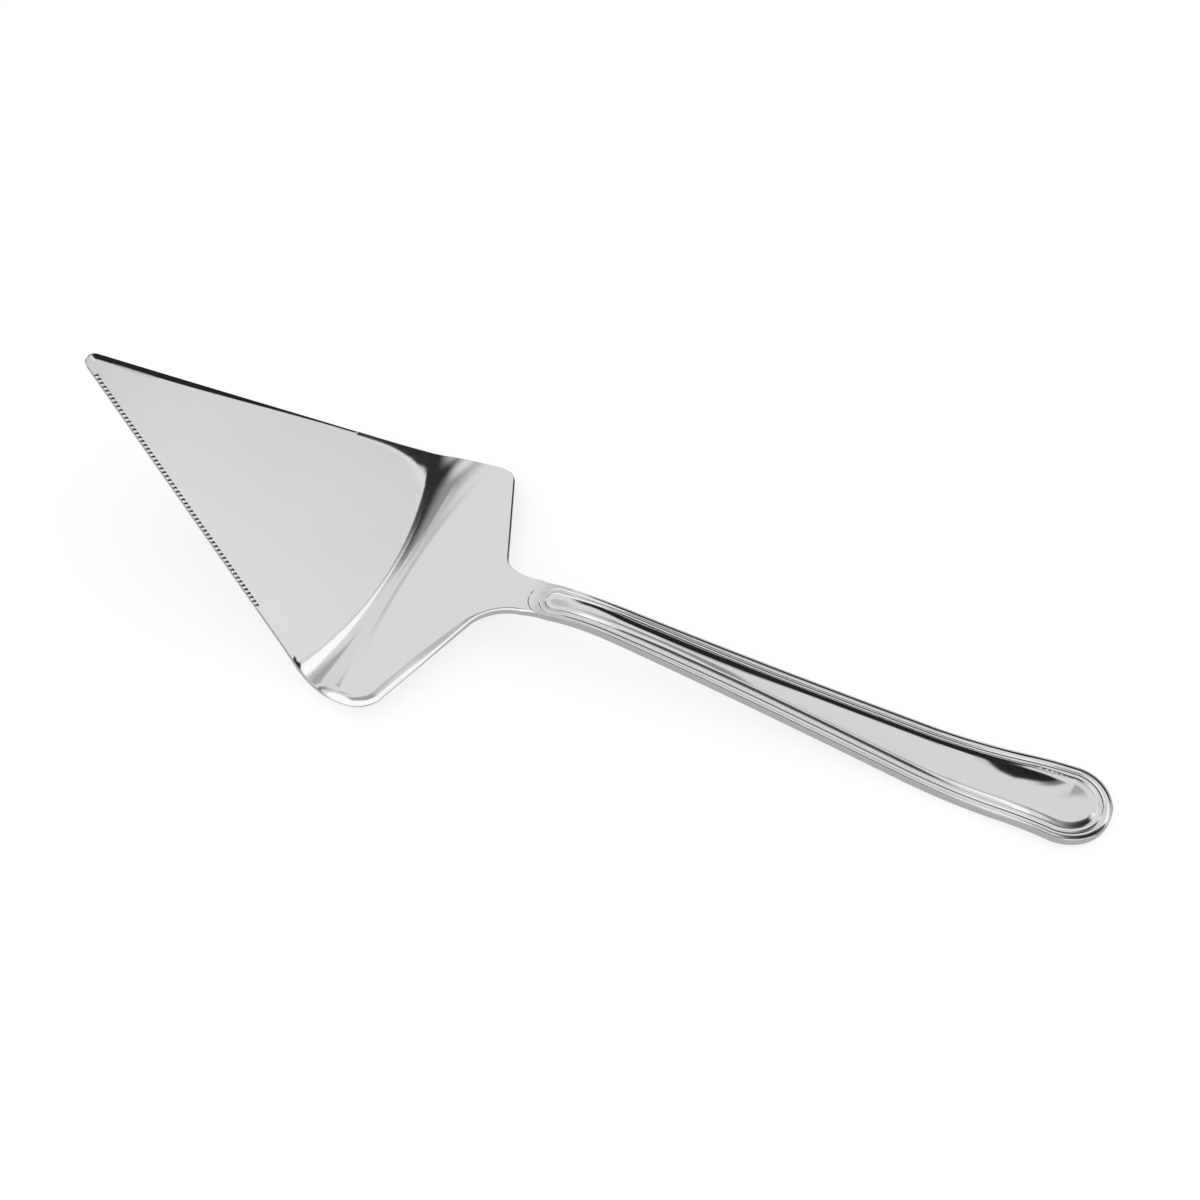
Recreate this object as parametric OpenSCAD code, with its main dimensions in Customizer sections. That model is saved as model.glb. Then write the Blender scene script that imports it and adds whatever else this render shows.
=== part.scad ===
// Cake server: a rolled steel blade with one serrated edge, joined at the neck to a solid handle.
// It lies as on a table, on the heel under its bend and on the back of the handle, with the tip raised.
// X runs from the tip to the handle end, Y across to the plain edge, Z up.
// The origin lies on the table, under the middle of the length.

/* [Blade] */
// Angle between the two long edges
tip_angle = 46.5; // [42:0.5:50]
// From the point where the edge lines meet to the bend
blade_length = 92.3; // [86:0.1:100]
// Thickness of the rolled blade
blade_thickness = 1; // [0.8:0.1:1.4]
// Radius of the tip
tip_radius = 2.8; // [2:0.1:5]

/* [Serration] */
// Distance between neighbouring teeth
tooth_pitch = 1.1; // [1:0.1:2]
// Width of the groove between two teeth
groove_width = 0.9; // [0.5:0.05:1]
// How far a groove reaches in from the edge
groove_reach = 0.9; // [0.6:0.1:1.4]
// Depth of a groove at the edge
groove_depth = 0.45; // [0.2:0.05:0.6]
// Length of the serrated stretch along the edge
serrated_length = 65; // [40:0.5:72]
// Plain stretch between the point of the edge lines and the first groove
plain_start = 9; // [6:0.5:14]

/* [Shoulder] */
// Slope of the shoulder behind the bend
shoulder_slope = 47.5; // [42:0.5:50]
// Run of the straight slope, seen from above
shoulder_run = 17.9; // [16:0.1:22]
// From the bend to the widest place
corner_setback = 4.9; // [3:0.1:7]
// Radius that turns each long edge into the shoulder
shoulder_radius = 24; // [18:0.5:28]
// Radius of the two back corners
corner_radius = 4.6; // [3:0.1:6]
// How far the bend's rounding reaches to each side of the bend line, at the middle
bend_reach = 3.3; // [2.5:0.1:4]
// Radius of the rounding's border on the blade, which makes the bend softer towards the edges
bend_border = 88; // [80:1:110]

/* [Neck] */
// From the bend to the middle of the fillets between shoulder and neck
fillet_setback = 24.2; // [23:0.1:27]
// Radius of those fillets
neck_fillet = 8; // [6:0.1:9]
// Width of the narrowest place
neck_width = 9; // [8:0.1:10]
// From the bend to the narrowest place
neck_setback = 37.2; // [33:0.1:42]
// Radius of the neck's waist, seen from above
waist_radius = 125; // [90:1:200]
// Radius of the round front of the handle at the joint
joint_radius = 4.9; // [4.8:0.1:5.2]
// From the bend to the middle of that round front
joint_setback = 28.5; // [27:0.1:30]

/* [Handle] */
// Thickness of the handle bar
handle_thickness = 2.2; // [1.6:0.1:3]
// Width of the handle at its round end
handle_width = 20.7; // [16:0.1:24]
// How slowly the handle widens behind the neck
handle_taper = 1.4; // [1.1:0.05:1.8]
// Radius of the arch over the neck, seen from the side
arch_radius = 72; // [66:1:78]
// Slope of the straight stretch
handle_slope = 21.4; // [18:0.1:24]
// Length of the straight stretch
handle_straight = 71; // [50:0.5:80]
// Radius of the upward sweep behind it
sweep_radius = 108; // [90:1:130]
// Steepest slope, where the sweep turns into the drooping end
crest_slope = 34; // [28:0.5:38]
// Radius of the drooping end
droop_radius = 81; // [70:1:95]
// Slope at the very end
end_slope = 17.5; // [14:0.5:22]
// Width of the rounding along the handle's edges
edge_round = 0.35; // [0.2:0.05:0.5]

/* [Border] */
// From the rim to the outer groove, at the neck
border_at_neck = 1.2; // [1:0.05:1.4]
// From the rim to the outer groove, on the wide part
border_at_end = 2; // [1.5:0.05:2.6]
// Length over which the border widens
border_run = 50; // [30:1:80]
// From the outer groove to the inner groove
thread_spacing = 1.3; // [1.2:0.05:1.5]
// Width of each groove of the border
thread_groove = 0.7; // [0.4:0.05:0.8]
// Depth of each groove of the border
thread_depth = 0.35; // [0.2:0.05:0.5]
// How much lower the edge of the middle panel lies than the rim
panel_drop = 0.15; // [0.05:0.05:0.3]
// How much the middle panel rises from its edge
panel_crown = 0.35; // [0:0.05:0.5]

/* [Hidden] */

// Numbers of facets
tip_steps = 12;
corner_steps = 6;
back_steps = 6;
fillet_steps = 8;
neck_steps = 4;
blade_columns = 28;
nose_steps = 5;
side_steps = 34;
end_steps = 9;

// Plan of the blade and the shoulder, measured from the point where the edge lines meet
half_tip = tip_angle / 2;
edge_rise = tan(half_tip);
widest_x = blade_length + corner_setback;
edge_end_x = widest_x - shoulder_radius * sin(half_tip);
shoulder_half = edge_rise * edge_end_x + shoulder_radius * (1 - cos(half_tip));
narrow_x = blade_length + neck_setback;
fillet_x = blade_length + fillet_setback;
fillet_y = half_neck(fillet_x) + neck_fillet;
corner_y = shoulder_half - corner_radius;
between = [fillet_x - widest_x, fillet_y - corner_y];
back_angle = asin((neck_fillet + corner_radius) / norm(between)) - atan2(between.y, between.x);
back_start = [widest_x + corner_radius * sin(back_angle), corner_y + corner_radius * cos(back_angle)];
back_end = [fillet_x - neck_fillet * sin(back_angle), fillet_y - neck_fillet * cos(back_angle)];

// Side profile of the top face, as plan distances
ramp_end_x = blade_length + shoulder_run;
arch_end_x = ramp_end_x + arch_radius * (sin(shoulder_slope) - sin(handle_slope));
sweep_x = arch_end_x + handle_straight * cos(handle_slope);
crest_x = sweep_x + sweep_radius * (sin(crest_slope) - sin(handle_slope));
end_x = crest_x + droop_radius * (sin(crest_slope) - sin(end_slope));
ramp_end_z = shoulder_run * tan(shoulder_slope);
arch_end_z = ramp_end_z + arch_radius * (cos(handle_slope) - cos(shoulder_slope));
sweep_z = arch_end_z + handle_straight * sin(handle_slope);
crest_z = sweep_z + sweep_radius * (cos(handle_slope) - cos(crest_slope));
round_x = end_x - handle_width / 2 * cos(end_slope);

// The thickness grows from the blade's to the handle's between these two places
thicken_start = blade_length + 7.7;
thicken_end = narrow_x + 5.5;

// The joint, square to the surface at its middle
joint_x = blade_length + joint_setback;
joint_tilt = slope(joint_x);
border_nose_x = joint_x + 1.1;
blank_nose_x = joint_x - 1.2;
blank_nose = 4 * joint_radius / 5;
blank_square = 4;

// Where the curved sheet starts, still flat there, and how far the flat blade runs into it
flat_end_x = blade_length - bend_reach - pow(edge_rise * blade_length, 2) / (2 * bend_border) - 1.4;
flat_overlap = 1;
sheet_end_x = joint_x + 1.6;

// The bend along the middle: its radius, where it starts and where it ends
heel_round = bend_reach / tan(shoulder_slope / 2);
heel_x = blade_length - bend_reach;
bend_end_x = heel_x + heel_round * sin(shoulder_slope);

// The resting pose: a line that touches the heel and the underside of the handle
rest_end_x = end_x - edge_round;
rest_tilt = min([for (x = spaced(rest_end_x, arch_end_x, 60)) touching_angle(x)]);
rest_lift = heel_x * sin(rest_tilt) - heel_round * cos(rest_tilt) + heel_round + blade_thickness;
tip_x = tip_radius / sin(half_tip) - tip_radius;
low_x = tip_x * cos(rest_tilt) - blade_thickness * sin(rest_tilt);
high_x = end_x * cos(rest_tilt) + rise(end_x) * sin(rest_tilt);

function touching_angle(x) =
    let (a = slope(x))
    let (dx = x + handle_thickness * sin(a) - heel_x)
    let (dz = rise(x) - handle_thickness * cos(a) - heel_round)
    atan2(dz, dx) + asin((heel_round + blade_thickness) / norm([dx, dz]));

function smooth(f) = let (g = min(1, max(0, f))) g * g * (3 - 2 * g);

function thickness(x) =
    blade_thickness
    + (handle_thickness - blade_thickness) * smooth((x - thicken_start) / (thicken_end - thicken_start));

// Slope and height of the top face along the middle
function slope(x) =
    x <= ramp_end_x ? shoulder_slope
    : x <= arch_end_x ? asin(sin(shoulder_slope) - (x - ramp_end_x) / arch_radius)
    : x <= sweep_x ? handle_slope
    : x <= crest_x ? asin(sin(handle_slope) + (x - sweep_x) / sweep_radius)
    : asin(sin(crest_slope) - (x - crest_x) / droop_radius);

function rise(x) =
    x <= ramp_end_x ? (x - blade_length) * tan(shoulder_slope)
    : x <= arch_end_x ? ramp_end_z + arch_radius * (cos(slope(x)) - cos(shoulder_slope))
    : x <= sweep_x ? arch_end_z + (x - arch_end_x) * tan(handle_slope)
    : x <= crest_x ? sweep_z + sweep_radius * (cos(handle_slope) - cos(slope(x)))
    : crest_z + droop_radius * (cos(slope(x)) - cos(crest_slope));

// Height of the top face of the blade and the shoulder, with the bend rounded
function height(x, y) =
    let (reach = bend_reach + y * y / (2 * bend_border))
    let (r = reach / tan(shoulder_slope / 2))
    let (start = blade_length - reach)
    x <= start ? 0
    : x < start + r * sin(shoulder_slope) ? r - sqrt(r * r - pow(x - start, 2))
    : rise(x);

function upright(x, y) =
    let (e = 0.01)
    let (gx = (height(x + e, y) - height(x - e, y)) / (2 * e))
    let (gy = (height(x, y + e) - height(x, y - e)) / (2 * e))
    [-gx, -gy, 1] / norm([gx, gy, 1]);

// Half the width of the outline
function half_neck(x) = neck_width / 2 + pow(narrow_x - x, 2) / (2 * waist_radius);

function half_sheet(x) =
    x <= edge_end_x ? edge_rise * x
    : x <= widest_x ? shoulder_half - shoulder_radius + sqrt(pow(shoulder_radius, 2) - pow(widest_x - x, 2))
    : x <= back_start.x ? corner_y + sqrt(max(0, pow(corner_radius, 2) - pow(x - widest_x, 2)))
    : x <= back_end.x ? back_start.y + (back_end - back_start).y * (x - back_start.x) / (back_end - back_start).x
    : x <= fillet_x ? fillet_y - sqrt(max(0, pow(neck_fillet, 2) - pow(fillet_x - x, 2)))
    : half_neck(x);

function half_handle(x) =
    x <= narrow_x ? half_neck(x)
    : (neck_width + (handle_width - neck_width) * pow((x - narrow_x) / (round_x - narrow_x), handle_taper)) / 2;

function border(x) =
    border_at_neck + (border_at_end - border_at_neck) * smooth((x - border_nose_x) / border_run);

function spaced(a, b, n) = [for (i = [0:n - 1]) a + (b - a) * i / n];

// Two triangles for each cell of a mesh row: a, b on one line of points and c, d on the next
function cell(a, b, c, d) = [[a, b, c], [b, d, c]];

module lying() {
    translate([-(low_x + high_x) / 2, 0, rest_lift])
        rotate([0, rest_tilt, 0])
            children();
}

// Everything behind the round front of the handle, square to the surface at the joint
module behind_joint() {
    translate([joint_x, 0, rise(joint_x)])
        rotate([0, -joint_tilt, 0])
            union() {
                cylinder(r = joint_radius, h = end_x, center = true, $fn = 96);
                translate([0, -handle_width, -end_x])
                    cube([end_x, 2 * handle_width, 2 * end_x]);
            }
}

// The flat triangle, with its underside one thickness down
module flat_blade() {
    tip_middle = tip_radius / sin(half_tip);
    tip_round = [for (i = [0:tip_steps])
        let (a = 90 + half_tip + (180 - tip_angle) * i / tip_steps)
        [tip_middle + tip_radius * cos(a), tip_radius * sin(a)]];
    end = flat_end_x + flat_overlap;
    translate([0, 0, -blade_thickness])
        linear_extrude(blade_thickness)
            polygon(concat([[end, edge_rise * end]], tip_round, [[end, -edge_rise * end]]));
}

// Grooves square to one edge, which deepen toward it and leave its lower corner whole
module serration() {
    dip = atan(groove_depth / groove_reach);
    groove_radius = groove_width / 2;
    for (i = [0:floor(serrated_length / tooth_pitch)])
        rotate([0, 0, -half_tip])
            translate([plain_start + i * tooth_pitch, groove_reach, groove_radius * (1 - cos(dip))])
                rotate([90 + dip, 0, 0])
                    cylinder(r = groove_radius, h = 3 * groove_reach, $fn = 24);
}

// The curved sheet from the end of the flat blade, over the bend and the shoulder, into the neck
module shoulder_sheet() {
    rows = concat(
        spaced(flat_end_x, heel_x, 10),
        spaced(heel_x, bend_end_x, 9),
        spaced(bend_end_x, widest_x, 4),
        [for (i = [0:corner_steps - 1]) widest_x + corner_radius * sin(back_angle * i / corner_steps)],
        spaced(back_start.x, back_end.x, back_steps),
        [for (i = [0:fillet_steps - 1])
            fillet_x - neck_fillet * sin(back_angle * (1 - i / fillet_steps))],
        spaced(fillet_x, sheet_end_x, neck_steps),
        [sheet_end_x]);
    columns = [for (j = [0:blade_columns]) 2 * j / blade_columns - 1];
    top = [for (x = rows) for (c = columns)
        let (y = c * half_sheet(x))
        [x, y, height(x, y)]];
    under = [for (p = top) p - thickness(p.x) * upright(p.x, p.y)];
    wide = len(columns);
    last = len(rows) - 1;
    n = len(top);
    top_faces = [for (i = [0:last - 1]) for (j = [0:wide - 2])
        let (k = i * wide + j)
        each cell(k, k + 1, k + wide, k + wide + 1)];
    edge_faces = [for (i = [0:last - 1])
        let (k = i * wide)
        let (m = k + wide - 1)
        each concat(cell(k + wide, n + k + wide, k, n + k), cell(m, n + m, m + wide, n + m + wide))];
    end_faces = [for (j = [0:wide - 2])
        let (k = last * wide + j)
        each concat(cell(j + 1, j, n + j + 1, n + j), cell(k, k + 1, n + k, n + k + 1))];
    under_faces = [for (f = top_faces) [n + f[0], n + f[2], n + f[1]]];
    polyhedron(points = concat(top, under), faces = concat(top_faces, edge_faces, end_faces, under_faces));
}

// One half of a line that runs round the handle, from its nose to its end, at a distance in from the rim
function half_line(nose, reach, square, inward) =
    let (nose_half = half_handle(nose) - inward(nose))
    let (end_r = handle_width / 2 - inward(round_x))
    concat(
        [for (i = [0:nose_steps - 1])
            let (a = 90 * (i + 0.5) / nose_steps)
            [nose - reach * pow(cos(a), 2 / square), nose_half * pow(sin(a), 2 / square)]],
        [for (x = spaced(nose, round_x, side_steps)) [x, half_handle(x) - inward(x)]],
        [for (i = [0:end_steps])
            let (a = 90 * i / (end_steps + 0.5))
            [round_x + end_r * cos(end_slope) * sin(a), end_r * cos(a)]]);

// The whole line, lifted square to the surface by its own height over the top face
function full_line(nose, reach, square, inward, lift) =
    let (half = half_line(nose, reach, square, inward))
    let (n = len(half))
    let (plan = concat(half, [for (i = [n - 1:-1:0]) [half[i].x, -half[i].y]]))
    [for (p = plan)
        let (a = slope(p.x))
        [p.x - lift(p.x) * sin(a), p.y, rise(p.x) + lift(p.x) * cos(a)]];

// A line of the border or the panel, whose nose follows the border's
function inner_line(inward, lift) =
    let (reach = (half_handle(border_nose_x) - inward(border_nose_x)) * cos(joint_tilt))
    full_line(border_nose_x, reach, 2, inward, lift);

function rounding(x) = edge_round * smooth((x - joint_x) / (narrow_x - joint_x));

function panel_line(share) =
    let (start = thread_spacing + thread_groove / 2)
    inner_line(
        function(x) border(x) + start + share * (half_handle(x) - border(x) - start),
        function(x) panel_crown * (1 - pow(1 - share, 2)) - panel_drop);

module handle_blank() {
    lip = thread_groove / 2;
    rim = function(x) 0;
    rounded = function(x) rounding(x);
    lines = [
        full_line(blank_nose_x, blank_nose, blank_square, rounded, function(x) -thickness(x)),
        full_line(blank_nose_x, blank_nose, blank_square, rim, function(x) rounding(x) - thickness(x)),
        full_line(blank_nose_x, blank_nose, blank_square, rim, function(x) -rounding(x)),
        full_line(blank_nose_x, blank_nose, blank_square, rounded, rim),
        inner_line(function(x) border(x) - lip, rim),
        inner_line(function(x) border(x), function(x) -thread_depth),
        inner_line(function(x) border(x) + thread_spacing / 2, function(x) -panel_drop / 2),
        inner_line(function(x) border(x) + thread_spacing, function(x) -thread_depth),
        panel_line(0),
        panel_line(0.35),
        panel_line(0.75)];
    count = len(lines[0]);
    half = count / 2;
    last = (len(lines) - 1) * count;
    side_faces = [for (k = [0:len(lines) - 2]) for (i = [0:count - 1])
        let (j = (i + 1) % count)
        each cell(k * count + i, k * count + j, (k + 1) * count + i, (k + 1) * count + j)];
    cap_faces = [for (i = [0:half - 2])
        let (m = count - 1 - i)
        each concat(cell(m, m - 1, i, i + 1), cell(last + i, last + i + 1, last + m, last + m - 1))];
    polyhedron(points = [for (line = lines) each line], faces = concat(side_faces, cap_faces));
}

module blade() {
    color("gainsboro")
        lying()
            difference() {
                union() {
                    flat_blade();
                    shoulder_sheet();
                }
                serration();
                behind_joint();
            }
}

module handle() {
    color("silver")
        lying()
            intersection() {
                handle_blank();
                behind_joint();
            }
}

blade();
handle();
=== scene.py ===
"""A mirror-polished cake server with a serrated wedge blade and a bordered handle.

The blade and the handle are modelled on the server's own lines: the outline seen from above, the side
profile and the border round the handle. They are then laid down in the resting pose of the frame.
"""

import logging
import math
from dataclasses import dataclass
from enum import Enum

import bpy
import numpy as np
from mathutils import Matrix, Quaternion, Vector


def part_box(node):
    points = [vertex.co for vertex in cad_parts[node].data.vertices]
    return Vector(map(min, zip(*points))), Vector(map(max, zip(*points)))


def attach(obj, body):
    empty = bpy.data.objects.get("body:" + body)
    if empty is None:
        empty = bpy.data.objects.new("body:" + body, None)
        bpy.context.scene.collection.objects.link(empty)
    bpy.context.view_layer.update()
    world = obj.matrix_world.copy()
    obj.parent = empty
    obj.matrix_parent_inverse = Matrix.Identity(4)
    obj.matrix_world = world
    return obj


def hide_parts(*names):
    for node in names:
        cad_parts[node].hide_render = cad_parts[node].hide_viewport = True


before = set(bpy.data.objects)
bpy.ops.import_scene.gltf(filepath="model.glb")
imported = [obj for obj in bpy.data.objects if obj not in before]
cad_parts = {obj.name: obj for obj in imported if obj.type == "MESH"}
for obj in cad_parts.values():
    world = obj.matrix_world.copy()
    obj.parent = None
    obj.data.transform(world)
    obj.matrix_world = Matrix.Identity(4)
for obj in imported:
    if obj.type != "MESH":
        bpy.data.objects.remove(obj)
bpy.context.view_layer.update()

log = logging.getLogger("cake_server")
MM = 0.001
WELD = 0.008 * MM
WHITE = (1.0, 1.0, 1.0, 1.0)
Array = np.ndarray
Span = tuple[float, float]


class Side(Enum):
    """The two long edges of the server, by the sign of Y."""

    SERRATED = -1.0
    PLAIN = 1.0


def smooth_step(share: Array) -> Array:
    """Return an S-shaped blend from 0 to 1 of shares from 0 to 1, held beyond them."""
    held = np.clip(share, 0.0, 1.0)
    return held * held * (3.0 - 2.0 * held)


def blend(place: Array, span: Span) -> Array:
    """Return an S-shaped blend from 0 at the start of a span to 1 at its end."""
    return smooth_step((place - span[0]) / (span[1] - span[0]))


def mix(start: Array | float, end: Array | float, share: Array) -> Array:
    """Return the values that lie a share of the way from the start to the end."""
    return start + (end - start) * share


def fall_off(distance: Array, reach: Array | float) -> Array:
    """Return 1 at no distance, falling straight to 0 at the reach and held there."""
    return np.clip(1 - distance / reach, 0.0, 1.0)


def safe_root(square: Array) -> Array:
    """Return the square root, and 0 for squares below 0."""
    return np.sqrt(np.maximum(square, 0.0))


@dataclass
class ServerLines:
    """The lines that blade and handle share, in millimetres.

    X runs from the point where the long edges would meet to the handle end, Z is square to the flat blade,
    and Z = 0 is its top face.
    """

    tip_angle: float = math.radians(46.5)
    blade_length: float = 92.3
    blade_thickness: float = 1.0
    tip_radius: float = 2.8
    shoulder_slope: float = math.radians(47.5)
    shoulder_run: float = 17.9
    corner_setback: float = 4.9
    shoulder_radius: float = 24.0
    corner_radius: float = 4.6
    bend_reach: float = 3.3
    bend_border: float = 88.0
    fillet_setback: float = 24.2
    neck_fillet: float = 8.0
    neck_width: float = 9.0
    neck_setback: float = 37.2
    waist_radius: float = 125.0
    joint_radius: float = 4.9
    joint_setback: float = 28.5
    handle_thickness: float = 2.2
    handle_width: float = 20.7
    handle_taper: float = 1.4
    arch_radius: float = 72.0
    handle_slope: float = math.radians(21.4)
    handle_straight: float = 71.0
    sweep_radius: float = 108.0
    crest_slope: float = math.radians(34.0)
    droop_radius: float = 81.0
    end_slope: float = math.radians(17.5)
    thicken_delay: float = 7.7
    thicken_overrun: float = 5.5

    def __post_init__(self) -> None:
        """Work out the stations of the outline and of the side profile."""
        self.place_outline()
        self.place_profile()

    def place_outline(self) -> None:
        """Work out where the arcs and straight edges of the outline meet."""
        self.half_tip = self.tip_angle / 2
        self.edge_rise = math.tan(self.half_tip)
        self.tip_middle = self.tip_radius / math.sin(self.half_tip)
        self.tip_x = self.tip_middle - self.tip_radius
        self.tip_end_x = self.tip_middle - self.tip_radius * math.sin(self.half_tip)
        self.widest_x = self.blade_length + self.corner_setback
        self.edge_end_x = self.widest_x - self.shoulder_radius * math.sin(self.half_tip)
        turned = self.shoulder_radius * (1 - math.cos(self.half_tip))
        self.shoulder_half = self.edge_rise * self.edge_end_x + turned
        self.narrow_x = self.blade_length + self.neck_setback
        self.fillet_x = self.blade_length + self.fillet_setback
        self.fillet_y = float(self.half_neck(self.fillet_x)) + self.neck_fillet
        self.corner_y = self.shoulder_half - self.corner_radius
        run = self.fillet_x - self.widest_x
        rise = self.fillet_y - self.corner_y
        radii = self.neck_fillet + self.corner_radius
        self.back_angle = math.asin(radii / math.hypot(run, rise)) - math.atan2(rise, run)
        sine, cosine = math.sin(self.back_angle), math.cos(self.back_angle)
        corner, fillet = self.corner_radius, self.neck_fillet
        self.back_start = (self.widest_x + corner * sine, self.corner_y + corner * cosine)
        self.back_end = (self.fillet_x - fillet * sine, self.fillet_y - fillet * cosine)
        back_run, back_rise = (end - start for start, end in zip(self.back_start, self.back_end))
        self.back_lean = back_rise / back_run

    def place_profile(self) -> None:
        """Work out where the stretches of the side profile meet."""
        slopes = (self.shoulder_slope, self.handle_slope, self.crest_slope, self.end_slope)
        sines = [math.sin(slope) for slope in slopes]
        cosines = [math.cos(slope) for slope in slopes]
        self.heel_round = self.bend_reach / math.tan(self.shoulder_slope / 2)
        self.ramp_end_x = self.blade_length + self.shoulder_run
        self.ramp_end_z = self.shoulder_run * math.tan(self.shoulder_slope)
        self.arch_end_x = self.ramp_end_x + self.arch_radius * (sines[0] - sines[1])
        self.arch_end_z = self.ramp_end_z + self.arch_radius * (cosines[1] - cosines[0])
        self.sweep_x = self.arch_end_x + self.handle_straight * cosines[1]
        self.sweep_z = self.arch_end_z + self.handle_straight * sines[1]
        self.crest_x = self.sweep_x + self.sweep_radius * (sines[2] - sines[1])
        self.crest_z = self.sweep_z + self.sweep_radius * (cosines[1] - cosines[2])
        self.end_x = self.crest_x + self.droop_radius * (sines[2] - sines[3])
        self.round_x = self.end_x - self.handle_width / 2 * cosines[3]
        self.joint_x = self.blade_length + self.joint_setback
        self.joint_tilt = float(self.slope(self.joint_x))

    def stretch(self, x: Array, *values: Array | float) -> Array:
        """Return for each place the value of its stretch of the side profile: ramp to droop."""
        ends = (self.ramp_end_x, self.arch_end_x, self.sweep_x, self.crest_x)
        return np.select([x <= end for end in ends], values[:-1], values[-1])

    def slope(self, x: Array) -> Array:
        """Work out the slope of the top face along the middle.

        Args:
            x: Places along the server.

        Returns:
            Slopes, as angles.
        """
        arch = math.sin(self.shoulder_slope) - (x - self.ramp_end_x) / self.arch_radius
        sweep = math.sin(self.handle_slope) + (x - self.sweep_x) / self.sweep_radius
        droop = math.sin(self.crest_slope) - (x - self.crest_x) / self.droop_radius
        sine = self.stretch(x, math.sin(self.shoulder_slope), arch, math.sin(self.handle_slope), sweep, droop)
        return np.arcsin(np.clip(sine, -1.0, 1.0))

    def rise(self, x: Array) -> Array:
        """Work out the height of the top face along the middle.

        Args:
            x: Places along the server.

        Returns:
            Heights, true behind the bend.
        """
        cosine = np.cos(self.slope(x))
        ramp = (x - self.blade_length) * math.tan(self.shoulder_slope)
        arch = self.ramp_end_z + self.arch_radius * (cosine - math.cos(self.shoulder_slope))
        straight = self.arch_end_z + (x - self.arch_end_x) * math.tan(self.handle_slope)
        sweep = self.sweep_z + self.sweep_radius * (math.cos(self.handle_slope) - cosine)
        droop = self.crest_z + self.droop_radius * (cosine - math.cos(self.crest_slope))
        return self.stretch(x, ramp, arch, straight, sweep, droop)

    def height(self, x: Array, y: Array) -> Array:
        """Work out the height of blade and shoulder, with the bend rounded.

        Args:
            x: Places along the server.
            y: Places across it.

        Returns:
            Heights of the top face.
        """
        x, y = np.broadcast_arrays(x, y)
        reach = self.bend_reach + y * y / (2 * self.bend_border)
        radius = reach / math.tan(self.shoulder_slope / 2)
        start = self.blade_length - reach
        length = radius * math.sin(self.shoulder_slope)
        into = np.clip(x - start, 0.0, length)
        bend = radius - np.sqrt(radius ** 2 - into ** 2)
        return np.where(x < start + length, bend, self.rise(x))

    def half_neck(self, x: Array) -> Array:
        """Return half the width near the narrowest place."""
        return self.neck_width / 2 + (self.narrow_x - x) ** 2 / (2 * self.waist_radius)

    def half_sheet(self, x: Array) -> Array:
        """Work out the blade's outline, from the tip to the neck.

        Args:
            x: Places along the server.

        Returns:
            Half the width there.
        """
        tip = safe_root(self.tip_radius ** 2 - (x - self.tip_middle) ** 2)
        round_off = safe_root(self.shoulder_radius ** 2 - (self.widest_x - x) ** 2)
        widening = self.shoulder_half - self.shoulder_radius + round_off
        corner = self.corner_y + safe_root(self.corner_radius ** 2 - (x - self.widest_x) ** 2)
        back = self.back_start[1] + self.back_lean * (x - self.back_start[0])
        fillet = self.fillet_y - safe_root(self.neck_fillet ** 2 - (self.fillet_x - x) ** 2)
        return np.select(
            [x <= self.tip_end_x, x <= self.edge_end_x, x <= self.widest_x, x <= self.back_start[0],
             x <= self.back_end[0], x <= self.fillet_x],
            [tip, self.edge_rise * x, widening, corner, back, fillet], self.half_neck(x))

    def half_handle(self, x: Array) -> Array:
        """Work out the handle's outline, up to its round end.

        Args:
            x: Places along the server.

        Returns:
            Half the width there.
        """
        share = np.clip((x - self.narrow_x) / (self.round_x - self.narrow_x), 0.0, 1.0)
        wide = mix(self.neck_width, self.handle_width, share ** self.handle_taper) / 2
        return np.where(x <= self.narrow_x, self.half_neck(x), wide)

    def thickness(self, x: Array) -> Array:
        """Return the thickness, which grows from the blade's to the handle's across the neck."""
        span = (self.blade_length + self.thicken_delay, self.narrow_x + self.thicken_overrun)
        return mix(self.blade_thickness, self.handle_thickness, blend(x, span))

    def bent_normal(self, x: Array) -> Array:
        """Return unit vectors square to the top face along the middle."""
        angle = self.slope(x)
        return np.stack([-np.sin(angle), np.zeros_like(angle), np.cos(angle)], axis=-1)

    def sheet_normal(self, x: Array, y: Array) -> Array:
        """Work out which way the top face of blade and shoulder looks.

        Args:
            x: Places along the server.
            y: Places across it.

        Returns:
            Unit vectors square to it.
        """
        step = 0.01
        along = (self.height(x + step, y) - self.height(x - step, y)) / (2 * step)
        across = (self.height(x, y + step) - self.height(x, y - step)) / (2 * step)
        normal = np.stack([-along, -across, np.ones_like(along)], axis=-1)
        return normal / np.linalg.norm(normal, axis=-1, keepdims=True)


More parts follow.
